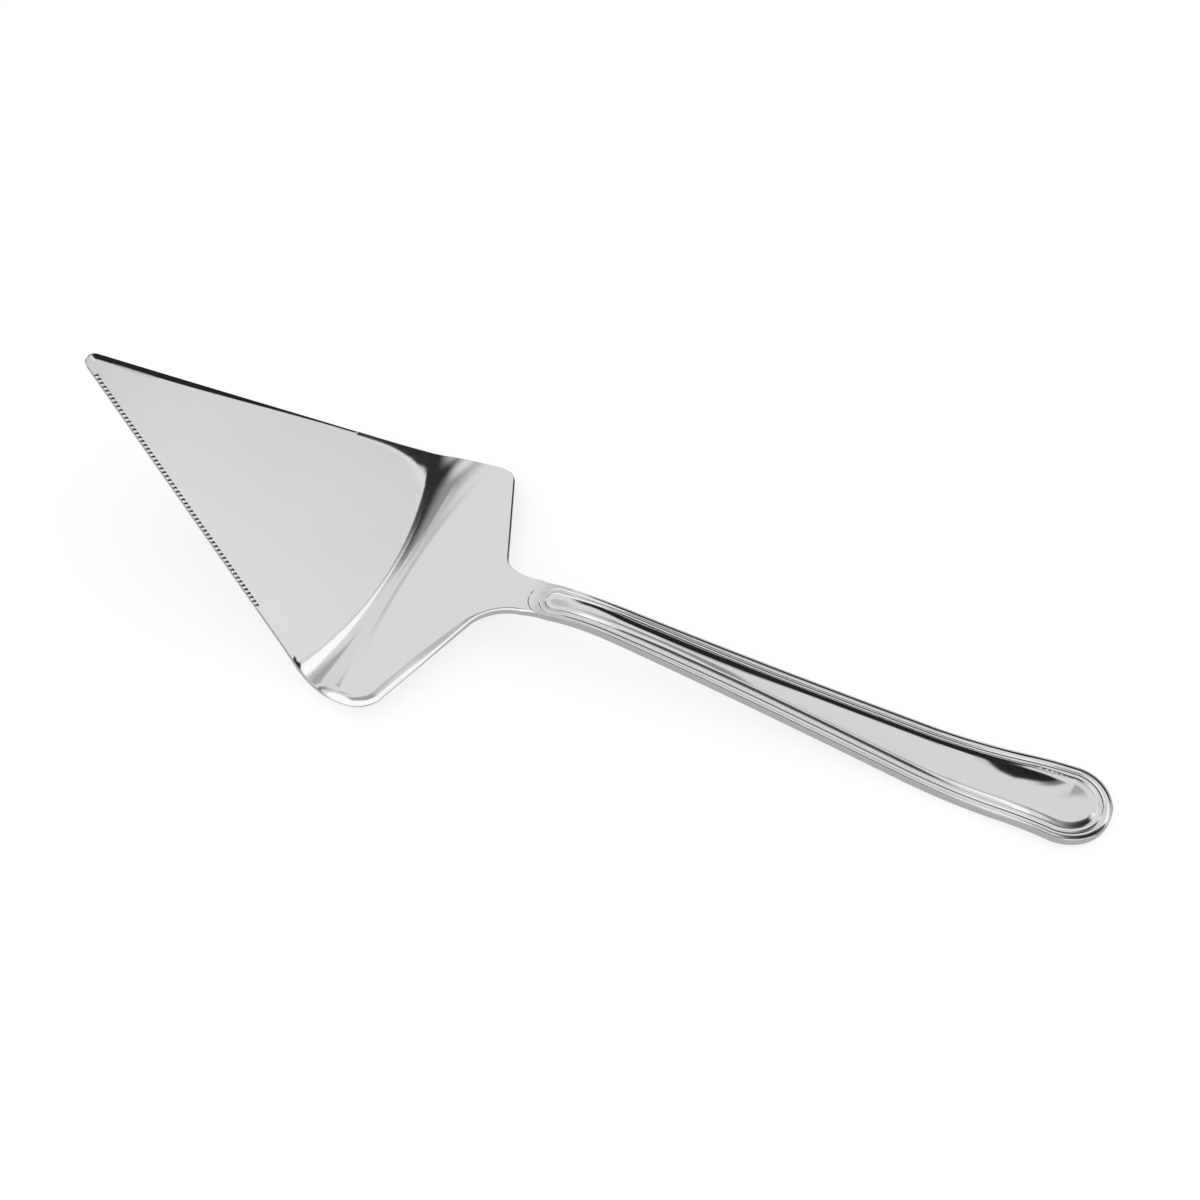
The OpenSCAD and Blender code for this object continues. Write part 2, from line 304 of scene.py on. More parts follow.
@dataclass(frozen=True)
class RestingPose:
    """The turn and the shift that lay the server's own lines down as in the frame."""

    lines: ServerLines
    edge_round: float = 0.35
    stations: int = 60
    settle: tuple[float, float, float] = (-0.05, 0.0, 0.005)

    def tilt(self) -> float:
        """Find how far the server leans when heel and handle both touch the table.

        Returns:
            The turn about Y.
        """
        lines = self.lines
        last = lines.end_x - self.edge_round
        x = last + (lines.arch_end_x - last) * np.arange(self.stations) / self.stations
        slope = lines.slope(x)
        run = x + lines.handle_thickness * np.sin(slope) - (lines.blade_length - lines.bend_reach)
        rise = lines.rise(x) - lines.handle_thickness * np.cos(slope) - lines.heel_round
        heel = np.arcsin((lines.heel_round + lines.blade_thickness) / np.hypot(run, rise))
        return float((np.arctan2(rise, run) + heel).min())

    def lay_down(self, points: Array) -> Array:
        """Turn and shift points in millimetres into the frame.

        Args:
            points: Points on the server's own lines, as rows of X, Y and Z.

        Returns:
            The same points in metres, in the frame.
        """
        lines = self.lines
        tilt = self.tilt()
        sine, cosine = math.sin(tilt), math.cos(tilt)
        turn = np.array([[cosine, 0, sine], [0, 1, 0], [-sine, 0, cosine]])
        tip = turn @ np.array([lines.tip_x, 0, -lines.blade_thickness])
        heel = turn @ np.array([lines.blade_length - lines.bend_reach, 0, lines.heel_round])
        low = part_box("blade")[0]
        lift = lines.heel_round + lines.blade_thickness - heel[2]
        shift = np.array([low.x - tip[0] * MM, 0.0, lift * MM])
        return points @ turn.T * MM + shift + np.array(self.settle) * MM


class Steelworker:
    """Makes closed shells from grids of points, starting from Blender's grid primitive."""

    @staticmethod
    def deselect() -> None:
        """Leave object mode free of any selection."""
        if bpy.context.object and bpy.context.object.mode != "OBJECT":
            bpy.ops.object.mode_set(mode="OBJECT")
        bpy.ops.object.select_all(action="DESELECT")

    @classmethod
    def sheet(cls, name: str, points: Array) -> bpy.types.Object:
        """Add a grid and move its points to the given places.

        Args:
            name: Name of the new object.
            points: Points in the frame, by row and column.

        Returns:
            The open sheet.
        """
        rows, columns = points.shape[:2]
        cls.deselect()
        bpy.ops.mesh.primitive_grid_add(x_subdivisions=rows - 1, y_subdivisions=columns - 1, size=1.0)
        piece = bpy.context.object
        piece.name = name
        piece.data.name = name
        places = np.empty(len(piece.data.vertices) * 3, np.float32)
        piece.data.vertices.foreach_get("co", places)
        places = places.reshape(-1, 3)
        row = np.rint((places[:, 0] + 0.5) * (rows - 1)).astype(int)
        column = np.rint((places[:, 1] + 0.5) * (columns - 1)).astype(int)
        piece.data.vertices.foreach_set("co", points[row, column].astype(np.float32).ravel())
        piece.data.update()
        return piece

    @classmethod
    def shell(cls, name: str, halves: list[Array]) -> bpy.types.Object:
        """Join two half sheets, which meet along the middle, into one closed piece.

        Args:
            name: Name of the new piece.
            halves: Points of each half, by row along the piece and column from under its middle over its rim
                to its top middle.

        Returns:
            The closed piece.
        """
        parts = [cls.sheet(name, points) for points in halves]
        cls.deselect()
        for part in parts:
            part.select_set(True)
        bpy.context.view_layer.objects.active = parts[0]
        bpy.ops.object.join()
        piece = bpy.context.object
        bpy.ops.object.mode_set(mode="EDIT")
        bpy.ops.mesh.select_all(action="SELECT")
        bpy.ops.mesh.remove_doubles(threshold=WELD)
        bpy.ops.mesh.dissolve_degenerate(threshold=WELD / 4)
        bpy.ops.mesh.select_all(action="SELECT")
        bpy.ops.mesh.normals_make_consistent(inside=False)
        bpy.ops.object.mode_set(mode="OBJECT")
        bpy.ops.object.shade_smooth()
        piece.select_set(False)
        return piece

    @staticmethod
    def rounded_rim(top: Array, under: Array, normal: Array, outward: Array, radius: Array,
                    angles: tuple[float, ...]) -> list[Array]:
        """Round the rim between the two faces of a sheet.

        Args:
            top: The first column of the top face.
            under: The first column of the underside.
            normal: Unit vectors square to the top face there.
            outward: Unit vectors out of the rim.
            radius: Radius of the rounding.
            angles: How steeply each column of the rounding stands, in degrees from the rim's middle.

        Returns:
            The columns from the underside up to the top face.
        """
        slants = np.radians(angles)
        upper = [top + outward * radius * math.cos(a) - normal * radius * (1 - math.sin(a)) for a in slants]
        lower = [under + outward * radius * math.cos(a) + normal * radius * (1 - math.sin(a)) for a in slants]
        return lower + upper[::-1]


class Nodes:
    """A short way to build a node tree."""

    def __init__(self, tree: bpy.types.NodeTree) -> None:
        """Start with an empty tree."""
        self.tree = tree
        tree.nodes.clear()

    def add(self, kind: str, settings: dict | None = None, inputs: dict | None = None) -> bpy.types.Node:
        """Add one node.

        Args:
            kind: The node's type.
            settings: Its own settings, set first.
            inputs: Values, sockets or wrapped sockets for its inputs, by name or number.

        Returns:
            The new node.
        """
        node = self.tree.nodes.new(kind)
        for key, value in (settings or {}).items():
            setattr(node, key, value)
        for key, value in (inputs or {}).items():
            self.join(value, node.inputs[key])
        return node

    def mix(self, factor: object, first: bpy.types.Node, second: bpy.types.Node) -> bpy.types.Node:
        """Blend two shaders, the first of which shows alone at factor 0."""
        return self.add("ShaderNodeMixShader", {}, {0: factor, 1: first.outputs[0], 2: second.outputs[0]})

    def join(self, value: object, socket: bpy.types.NodeSocket) -> None:
        """Link or set one input.

        Args:
            value: A value, socket or wrapped socket.
            socket: The input.
        """
        if isinstance(value, Signal):
            self.tree.links.new(value.socket, socket)
        elif isinstance(value, bpy.types.NodeSocket):
            self.tree.links.new(value, socket)
        else:
            socket.default_value = value


class Signal:
    """A value socket that adds Math nodes when it is used in a Python expression."""

    def __init__(self, nodes: Nodes, socket: bpy.types.NodeSocket) -> None:
        """Wrap a socket."""
        self.nodes = nodes
        self.socket = socket

    def math(self, operation: str, *others: object) -> "Signal":
        """Add one Math node that starts from this value."""
        node = self.nodes.add("ShaderNodeMath", {"operation": operation}, dict(enumerate((self, *others))))
        return Signal(self.nodes, node.outputs[0])

    def __add__(self, other: object) -> "Signal":
        """Return self + other."""
        return self.math("ADD", other)

    __radd__ = __add__

    def __mul__(self, other: object) -> "Signal":
        """Return self * other."""
        return self.math("MULTIPLY", other)

    __rmul__ = __mul__

    def __sub__(self, other: object) -> "Signal":
        """Return self - other."""
        return self.math("SUBTRACT", other)

    def __rsub__(self, other: object) -> "Signal":
        """Return other - self."""
        return (self * -1.0) + other

    def between(self, low: float, high: float) -> "Signal":
        """Return a smooth step from 0 at low to 1 at high."""
        node = self.nodes.add("ShaderNodeMapRange", {"interpolation_type": "SMOOTHSTEP"},
                              {"Value": self, "From Min": low, "From Max": high})
        return Signal(self.nodes, node.outputs[0])


@dataclass(frozen=True)
class PolishedSteel:
    """Stainless steel polished to a mirror, with the fine lines that the polishing wheel leaves."""

    name: str
    grey: float = 0.8
    roughness: float = 0.06
    line_direction: tuple[float, float, float] = (1.0, 0.0, 0.0)
    line_width: float = 0.25
    line_stretch: float = 60.0
    line_strength: float = 0.02
    line_depth: float = 0.02
    line_roughness: float = 0.02
    haze_scale: float = 45.0
    haze_span: Span = (0.35, 0.7)
    haze_roughness: float = 0.02

    def make(self) -> bpy.types.Material:
        """Build the material.

        Returns:
            The material.
        """
        material = bpy.data.materials.new(self.name)
        material.use_nodes = True
        nodes = Nodes(material.node_tree)
        place = nodes.add("ShaderNodeTexCoord").outputs["Object"]
        direction = Vector(self.line_direction).normalized()
        turn = direction.rotation_difference(Vector((1.0, 0.0, 0.0))).to_euler()
        fine = 1.0 / (self.line_width * MM)
        lines = nodes.add("ShaderNodeMapping", {}, {
            "Vector": place, "Rotation": turn, "Scale": (fine / self.line_stretch, fine, fine)})
        grain = nodes.add("ShaderNodeTexNoise", {}, {"Vector": lines.outputs[0], "Scale": 1.0, "Detail": 2.0})
        haze = nodes.add("ShaderNodeTexNoise", {}, {"Vector": place, "Scale": self.haze_scale, "Detail": 3.0})
        grain_value = Signal(nodes, grain.outputs[0])
        hazy = Signal(nodes, haze.outputs[0]).between(*self.haze_span)
        rough = self.roughness + (grain_value - 0.5) * self.line_roughness + hazy * self.haze_roughness
        bump = nodes.add("ShaderNodeBump", {}, {
            "Strength": self.line_strength, "Distance": self.line_depth * MM, "Height": grain_value})
        steel = nodes.add("ShaderNodeBsdfPrincipled", {}, {
            "Base Color": (self.grey, self.grey, self.grey, 1.0), "Metallic": 1.0,
            "Roughness": rough, "Normal": bump.outputs[0]})
        nodes.add("ShaderNodeOutputMaterial", {}, {"Surface": steel.outputs[0]})
        return material


@dataclass
class SteelPart:
    """A closed piece made of two halves that meet along the middle.

    Its sizes are in millimetres. A Span is the stretch along X over which something starts or ends, unless
    its comment says from where it is measured.
    """

    lines: ServerLines
    pose: RestingPose
    steel: PolishedSteel
    name: str

    def half_rows(self, side: Side) -> Array:
        """Return the points of one half, which each kind of piece works out for itself."""
        raise NotImplementedError

    def build(self) -> bpy.types.Object:
        """Model the piece, lying in the frame."""
        halves = [self.pose.lay_down(self.half_rows(side)) for side in (Side.PLAIN, Side.SERRATED)]
        return Steelworker.shell(self.name, halves)


@dataclass
class Blade(SteelPart):
    """The rolled sheet: a flat wedge with one serrated edge, the bend, the shoulder and the neck."""

    # Serration, pressed into an edge that is ground thin from below
    tooth_pitch: float = 1.1
    tooth_start: float = 9.0
    serrated_length: float = 65.0
    groove_reach: float = 1.0
    groove_depth: float = 0.095
    groove_half: float = 0.33
    groove_curve: float = 0.7
    cutting_edge: float = 0.45
    cutting_bevel: float = 1.6
    cutting_start: Span = (0.0, 1.0)  # from the tip
    cutting_end: Span = (78.0, 86.0)

    # Bevel on the plain edge, which narrows toward the shoulder
    plain_bevel: float = 1.75
    plain_bevel_back: float = 0.55
    plain_bevel_fall: float = math.radians(9)
    plain_bevel_narrows: Span = (0.22, 0.7)  # shares of the blade's length
    plain_bevel_start: Span = (0.0, 0.4)  # from the tip
    plain_bevel_end: Span = (65.2, 66.2)

    # Lip that the plain edge raises near the bend
    lip_rise: float = 0.45
    lip_lean: float = 0.14
    lip_reach: Span = (1.5, 9.5)  # narrowest and widest, in from the edge
    lip_growth: Span = (64.0, 84.0)
    lip_start: Span = (64.9, 66.1)
    lip_end: Span = (86.5, 97.0)

    # Roll of the serrated side's heel, and the drooped rim of the shoulder behind it
    heel_roll: float = 0.045
    heel_roll_reach: float = 1.5
    heel_start: Span = (81.0, 82.2)
    heel_end: Span = (83.2, 86.4)
    rim_reach: float = 2.7
    rim_reach_neck: float = 0.9
    rim_lean: float = 0.5
    rim_start: Span = (0.6, 5.6)  # from the end of the straight edge
    rim_narrows: Span = (6.0, 14.0)  # from the widest place

    # Rounding between the two faces
    rim_round: float = 0.16
    rim_share: float = 0.45
    rim_angles: tuple[float, ...] = (80, 60, 40, 20, 0)

    # Rows of the mesh, from the tip to the joint
    rows_per_tooth: int = 8
    tip_rows: int = 24
    corner_rows: int = 20
    back_rows: int = 16
    neck_rows: int = 12
    row_step: float = 0.3
    past_teeth: float = 0.4
    bend_rows: tuple[Span, ...] = ((80.0, 0.8), (86.0, 0.35), (96.6, 0.2))  # until where, and how far apart
    before_corner: float = 0.1
    joint_blend_x: float = 108.0

    # Columns of the mesh, from the rim to the middle
    serrated_columns: tuple[float, ...] = (0, 0.05, 0.12, 0.25, 0.4, 0.55, 0.7, 0.85, 1.0, 1.3, 1.8, 2.6, 3.4)
    plain_columns: tuple[float, ...] = (0, 0.1, 0.4, 0.7, 0.9, 0.95, 0.985, 1.015, 1.05, 1.1, 1.5, 2.2)
    plain_columns_beyond: tuple[float, ...] = (0.8, 1.6, 2.4, 3.2)
    narrowest_bevel: float = 0.3
    border_share: float = 0.75
    inner_columns: int = 20
    square_start: Span = (0.0, 4.0)  # from the end of the round tip
    square_end: Span = (76.0, 82.0)
    square_reach: Span = (1.3, 4.3)  # in from the edge

    def stations(self) -> Array:
        """Place the rows: close at tip, teeth, bend and corners.

        Returns:
            Places along, from the tip to the joint.
        """
        lines = self.lines
        foreshorten = math.cos(lines.half_tip)
        tooth = self.tooth_pitch * foreshorten / self.rows_per_tooth
        first = (self.tooth_start - self.tooth_pitch / 2) * foreshorten
        last = (self.tooth_start + self.serrated_length + self.tooth_pitch) * foreshorten
        angles = np.linspace(0.0, math.pi / 2 - lines.half_tip, self.tip_rows)
        back_angles = np.linspace(0, lines.back_angle, self.corner_rows)
        tip = lines.tip_middle - lines.tip_radius * np.cos(angles)
        corner = lines.widest_x + lines.corner_radius * np.sin(back_angles)
        fillet = lines.fillet_x - lines.neck_fillet * np.sin(back_angles[::-1])
        parts = [tip, np.arange(tip[-1] + self.row_step, first, self.row_step), np.arange(first, last, tooth)]
        begin = last + self.past_teeth
        for until, step in (*self.bend_rows, (lines.widest_x - self.before_corner, self.row_step)):
            parts.append(np.arange(begin, until, step))
            begin = until
        back = np.linspace(corner[-1], fillet[0], self.back_rows)[1:-1]
        neck = np.linspace(lines.fillet_x, lines.joint_x, self.neck_rows)[1:]
        return np.unique(np.round(np.concatenate([*parts, corner, back, fillet, neck]), 6))

    def joint_line(self, y: Array) -> Array:
        """Return the place along X of the round joint at a distance from the middle."""
        inside = safe_root(self.lines.joint_radius ** 2 - y ** 2)
        return self.lines.joint_x - inside * math.cos(self.lines.joint_tilt)

    def bevel_width(self, x: Array) -> Array:
        """Work out the bevel along the plain edge, which starts past the very tip.

        Args:
            x: Places along the server.

        Returns:
            Widths of the bevel.
        """
        share = blend(x / self.lines.blade_length, self.plain_bevel_narrows)
        shown = blend(x - self.lines.tip_x, self.plain_bevel_start)
        return mix(self.plain_bevel, self.plain_bevel_back, share) * shown

    def grooves(self, along: Array, inward: Array) -> Array:
        """Work out the serration.

        Args:
            along: Places along the edge, from where both edges would meet.
            inward: Distances in from the edge.

        Returns:
            How deep it cuts.
        """
        share = (along - self.tooth_start) / self.tooth_pitch
        nearest = np.clip(np.rint(share), 0, math.floor(self.serrated_length / self.tooth_pitch))
        off = np.abs(share - nearest) * self.tooth_pitch
        depth = self.groove_depth * fall_off(off, self.groove_half)
        return depth * fall_off(inward, self.groove_reach) ** self.groove_curve

    def serrated_fall(self, x: Array, inward: Array) -> Array:
        """Return how far the serrated side's top face lies below its lines.

        Args:
            x: Places along the server.
            inward: Distances in from the edge.

        Returns:
            Depths of the drooped rim, the rolled heel and the grooves together.
        """
        lines = self.lines
        along = (x - inward * math.sin(lines.half_tip)) / math.cos(lines.half_tip)
        reach = mix(self.rim_reach, self.rim_reach_neck, blend(x - lines.widest_x, self.rim_narrows))
        on_shoulder = blend(x - lines.edge_end_x, self.rim_start)
        rim = self.rim_lean * reach / 2 * fall_off(inward, reach) ** 2 * on_shoulder
        heel = blend(x, self.heel_start) * (1 - blend(x, self.heel_end))
        roll = self.heel_roll * heel * fall_off(inward, self.heel_roll_reach) ** 2
        return rim + roll + self.grooves(along, inward)

    def plain_fall(self, x: Array, inward: Array) -> Array:
        """Return how far the plain side's top face lies below its lines.

        Args:
            x: Places along the server.
            inward: Distances in from the edge.

        Returns:
            Depths of the bevel, less the height of the raised lip.
        """
        fade = 1 - blend(x, self.plain_bevel_end)
        bevel = fade * math.tan(self.plain_bevel_fall) * np.maximum(self.bevel_width(x) - inward, 0.0)
        grow = np.clip((x - self.lip_growth[0]) / (self.lip_growth[1] - self.lip_growth[0]), 0, 1)
        reach = mix(*self.lip_reach, grow ** 4)
        shown = blend(x, self.lip_start) * (1 - blend(x, self.lip_end))
        rise = np.minimum(self.lip_lean * reach / 2, self.lip_rise) * shown
        return bevel - rise * fall_off(inward, reach) ** 2

    def columns(self, x_rim: Array, side: Side) -> Array:
        """Place the columns near the rim, close together over teeth, bevel and lip.

        Args:
            x_rim: Places of the rows along the rim.
            side: Which long edge.

        Returns:
            Distances in from the rim, by row and column.
        """
        if side is Side.SERRATED:
            return np.repeat(np.array([self.serrated_columns]), len(x_rim), axis=0)
        width = np.maximum(self.bevel_width(x_rim), self.narrowest_bevel) / math.cos(self.lines.half_tip)
        inset = width[:, None] * np.array([self.plain_columns])
        return np.concatenate([inset, inset[:, -1:] + np.array([self.plain_columns_beyond])], axis=1)

    def half_rows(self, side: Side) -> Array:
        """Return the rows of one half, from the tip to the joint.

        Args:
            side: Which long edge.

        Returns:
            Points by row and column, from under the middle over the edge to the top middle.
        """
        lines = self.lines
        x_rim = self.stations()
        half = lines.half_sheet(x_rim)
        into_joint = np.clip((x_rim - self.joint_blend_x) / (lines.joint_x - self.joint_blend_x), 0, 1)
        joint_depth = self.joint_line(0.0) - lines.joint_x
        x_mid = np.maximum(x_rim, lines.tip_middle) + into_joint * joint_depth
        length = np.hypot(x_mid - x_rim, half)[:, None]
        inset = self.columns(x_rim, side)
        room = np.minimum(1.0, (self.border_share * length - self.rim_round) / inset[:, -1:])
        share = (self.rim_round + inset * room) / length
        inner = share[:, -1:] + (1 - share[:, -1:]) * np.linspace(0, 1, self.inner_columns + 1)[None, 1:]
        shares = np.concatenate([share, inner], axis=1)
        top_x = x_rim[:, None] + (x_mid - x_rim)[:, None] * shares
        top_y = half[:, None] * (1 - shares)
        if side is Side.SERRATED:
            square = blend(x_rim - lines.tip_end_x, self.square_start) * (1 - blend(x_rim, self.square_end))
            inward = half[:, None] * shares
            tapered = square[:, None] * (1 - blend(inward, self.square_reach))
            top_x = top_x + lines.edge_rise * inward * tapered
        straight = lines.joint_x + joint_depth * shares
        top_x = top_x + (self.joint_line(top_y) - straight) * into_joint[:, None] ** 3
        return self.wrap(top_x, top_y, self.from_edge(top_x, top_y), side)

    def from_edge(self, x: Array, y: Array) -> Array:
        """Measure how far points of one half lie in from the outline.

        Args:
            x: Places along the server.
            y: Places across it.

        Returns:
            Distances square to the nearest edge.
        """
        lines = self.lines
        straight = (lines.edge_rise * x - y) * math.cos(lines.half_tip)
        in_tip = lines.tip_radius - np.hypot(x - lines.tip_middle, y)
        tip_part = y < (lines.tip_middle - x) / lines.edge_rise
        outer = np.maximum(y - lines.shoulder_half + lines.shoulder_radius, 0.0)
        widening = lines.shoulder_radius - np.hypot(x - lines.widest_x, outer)
        side = np.where(x < lines.edge_end_x, straight, widening)
        corner = lines.corner_radius - np.hypot(x - lines.widest_x, y - lines.corner_y)
        back = lines.back_start[1] + lines.back_lean * (x - lines.back_start[0]) - y
        back = back / math.hypot(1, lines.back_lean)
        fillet = np.hypot(x - lines.fillet_x, y - lines.fillet_y) - lines.neck_fillet
        run = np.array([math.cos(lines.back_angle), -math.sin(lines.back_angle)])
        before = (x - lines.widest_x) * run[0] + (y - lines.corner_y) * run[1] < 0
        past = (x - lines.fillet_x) * run[0] + (y - lines.fillet_y) * run[1] > 0
        behind = np.where(before, corner, np.where(past, fillet, back))
        rear = np.where(x > lines.fillet_x, lines.half_neck(x) - y, behind)
        inward = np.where(x <= lines.widest_x, side, rear)
        return np.maximum(np.where(tip_part, in_tip, inward), 0.0)

    def wrap(self, top_x: Array, top_y: Array, inward: Array, side: Side) -> Array:
        """Lift the top points, round the rim below them, lay the underside and close the joint.

        Args:
            top_x: Places along, by row and column from the rim to the middle.
            top_y: Places across.
            inward: Distances in from the outline.
            side: Which long edge.

        Returns:
            Points by row and column.
        """
        lines = self.lines
        normal = lines.sheet_normal(top_x, top_y)
        base = np.stack([top_x, top_y, lines.height(top_x, top_y)], axis=-1)
        thick = lines.thickness(top_x)
        if side is Side.SERRATED:
            fall = self.serrated_fall(top_x, inward)
            thinned = mix(self.cutting_edge, 1.0, inward / self.cutting_bevel)
            ground = blend(top_x - lines.tip_x, self.cutting_start) * (1 - blend(top_x, self.cutting_end))
            thick = thick * (1 - ground * (1 - np.minimum(thinned, 1.0)))
        else:
            fall = self.plain_fall(top_x, inward)
        top = base - normal * fall[..., None]
        under = base - normal * thick[..., None]
        outward = base[:, :1] - base[:, 1:2]
        outward = outward / np.maximum(np.linalg.norm(outward, axis=-1, keepdims=True), 1e-9)
        wall = np.linalg.norm(top - under, axis=-1, keepdims=True)[:, :1]
        radius = np.minimum(self.rim_round, self.rim_share * wall)
        rim = Steelworker.rounded_rim(top[:, :1], under[:, :1], normal[:, :1], outward, radius,
                                      self.rim_angles)
        rows = np.concatenate([under[:, ::-1], *rim, top], axis=1)
        joint = (rows[-1:] + rows[-1:, ::-1]) / 2
        rows = np.concatenate([rows, joint], axis=0)
        rows[..., 1] *= side.value
        return rows

    def dress(self, piece: bpy.types.Object) -> None:
        """Give the blade its finish and its place in the frame.

        Args:
            piece: The blade.
        """
        piece.data.materials.append(self.steel.make())
        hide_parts("blade")
        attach(piece, "root")


@dataclass
class Handle(SteelPart):
    """The bar: a rim, two coined grooves with a thread between them, and a crowned middle panel."""

    # Border: how far in it lies, and its two grooves with the thread between them
    border_at_neck: float = 1.2
    border_at_end: float = 2.0
    border_run: float = 50.0
    nose_setback: float = 1.1
    thread_spacing: float = 1.3
    thread_tight: float = 0.35
    thread_groove: float = 0.7
    thread_depth: float = 0.12
    thread_drop: float = 0.05
    inner_groove_share: float = 0.65
    cut_at_joint: float = 0.4
    cut_grows: Span = (0.0, 20.0)  # from the joint

    # Crown of the middle panel, and its swell toward the plain side
    crown_near: float = 0.28
    crown_far: float = 0.36
    crown_along: float = 0.03
    crown_start: Span = (128.0, 142.0)
    crown_fade: Span = (148.0, 170.0)
    crown_swell: float = 0.52
    swell_x: float = 227.0
    swell_reach: Span = (11.0, 6.5)  # before and behind its highest place
    swell_lean: float = 0.02
    swell_lean_x: float = 225.5
    swell_lean_reach: float = 13.2
    swell_lean_start: float = 0.25

    # Shoulder of the panel, where it falls to the inner groove
    shoulder_reach: float = 1.7
    shoulder_extra: float = 1.1
    shoulder_narrows: Span = (150.0, 182.0)
    shoulder_near: float = 0.8
    shoulder_share: float = 0.8
    shoulder_drop: float = 0.34
    crown_in_drop: float = 0.6
    panel_top: float = 0.4
    panel_at_joint: float = 0.2
    panel_grows: Span = (3.0, 27.0)  # from the joint
    panel_sinks: Span = (-14.0, 0.0)  # from the middle of the round end
    panel_sinks_by: float = 0.85

    # Drooped rim, and where the two sides begin and cease to differ
    rim_drop: float = 0.16
    rim_reach: float = 1.3
    rim_drop_near: float = 0.25
    rim_reach_near: float = 0.9
    rim_grows: Span = (1.5, 13.5)  # from the joint
    sides_part: Span = (1.5, 10.5)  # from the joint
    sides_meet: Span = (-9.0, 0.0)  # from the middle of the round end

    # Rounding between the two faces
    edge_round: float = 0.35
    edge_round_grows: Span = (0.0, 8.7)  # from the joint
    edge_angles: tuple[float, ...] = (75, 60, 45, 30, 15, 0)

    # Rows and columns of the mesh
    side_rows: int = 420
    round_rows: int = 44
    border_columns: int = 60
    panel_columns: int = 25
    under_columns: int = 5

    def border(self, x: Array) -> Array:
        """Return the distance from the rim to the outer groove."""
        nose = self.lines.joint_x + self.nose_setback
        return mix(self.border_at_neck, self.border_at_end, blend(x, (nose, nose + self.border_run)))

    def crown(self, x: Array, side: Side) -> Array:
        """Work out how far the panel rises from one edge to its middle.

        Args:
            x: Places along the server.
            side: Which long edge.

        Returns:
            Heights of the crown.
        """
        fade = 1 - blend(x, self.crown_fade)
        if side is Side.SERRATED:
            start = blend(x - self.lines.joint_x, self.sides_part)
            return mix(self.crown_along, self.crown_near, fade * start)
        off = (x - self.swell_x) / np.where(x < self.swell_x, *self.swell_reach)
        swell = self.crown_swell * np.exp(-off ** 2)
        return mix(self.crown_along, self.crown_far, fade * blend(x, self.crown_start)) + swell

    def lean(self, x: Array) -> Array:
        """Return how much the panel leans to the far side where it swells, as a slope."""
        return self.swell_lean * np.exp(-((x - self.swell_lean_x) / self.swell_lean_reach) ** 2)

    def dip(self, off: Array, reach: float) -> Array:
        """Return the depth of a round-bottomed groove, from 1 at its middle to 0 at its reach."""
        return np.clip(1 - (off / reach) ** 2, 0, 1) ** 1.5

    def relief(self, x: Array, depth: Array, half: Array, side: Side) -> Array:
        """Return the height of the top over its lines, by place along and distance in from the rim.

        Args:
            x: Places along the handle.
            depth: Distances in from the rim.
            half: Half widths at those places.
            side: Which long edge.

        Returns:
            Heights in millimetres, below zero in the grooves.
        """
        near = side is Side.SERRATED
        past_joint = x - self.lines.joint_x
        into_round = x - self.lines.round_x
        apart = blend(past_joint, self.sides_part) * (1 - blend(into_round, self.sides_meet))
        own = apart if near else 0.0
        outer = self.border(x)
        inner = outer + self.thread_spacing - (0.0 if near else self.thread_tight) * apart
        rim_drop = mix(self.rim_drop, self.rim_drop_near, own) * blend(past_joint, self.rim_grows)
        rim = rim_drop * fall_off(depth, mix(self.rim_reach, self.rim_reach_near, own)) ** 2
        lip = self.thread_groove / 2
        thread = self.thread_drop * smooth_step((depth - outer) / lip)
        cut = mix(self.cut_at_joint, 1.0, blend(past_joint, self.cut_grows))
        inner_dip = self.dip(depth - inner, self.inner_groove_share * lip)
        grooves = self.dip(depth - outer, lip) + np.where(depth < inner, inner_dip, 1.0)
        panel = np.where(depth > inner, self.panel(x, depth - inner, half - inner, own, side), 0.0)
        return panel - thread - rim - self.thread_depth * cut * grooves

    def panel(self, x: Array, inside: Array, half: Array, own: Array | float, side: Side) -> Array:
        """Return the height of the middle panel over the bottom of the inner groove.

        Args:
            x: Places along the handle.
            inside: Distances in from the inner groove.
            half: Half the width between the inner grooves.
            own: How much the serrated side differs from the other, from 0 to 1.
            side: Which long edge.

        Returns:
            Heights in millimetres.
        """
        width = np.maximum(half, 0.1)
        share = np.clip(inside / width, 0, 1)
        far_reach = self.shoulder_reach + self.shoulder_extra * (1 - blend(x, self.shoulder_narrows))
        reach = np.minimum(mix(far_reach, self.shoulder_near, own), self.shoulder_share * width)
        full = mix(self.panel_at_joint, 1.0, blend(x - self.lines.joint_x, self.panel_grows))
        full = full * (1 - self.panel_sinks_by * blend(x - self.lines.round_x, self.panel_sinks))
        crown = self.crown(x, side)
        drop = (self.shoulder_drop - self.crown_in_drop * crown) * full
        shoulder = drop * fall_off(inside, reach) ** (2.0 - 0.6 * own)
        leaning = self.lean(x) * (half - inside) * side.value * smooth_step(share / self.swell_lean_start)
        return self.panel_top * full - leaning - crown * (1 - share) ** 2 - shoulder

    def by_row(self, nose: float, sides: Array, end: float) -> Array:
        """Return a value for each row: one round the nose, its own along the sides, one round the end."""
        return np.concatenate([np.full(self.round_rows, nose), sides, np.full(self.round_rows, end)])

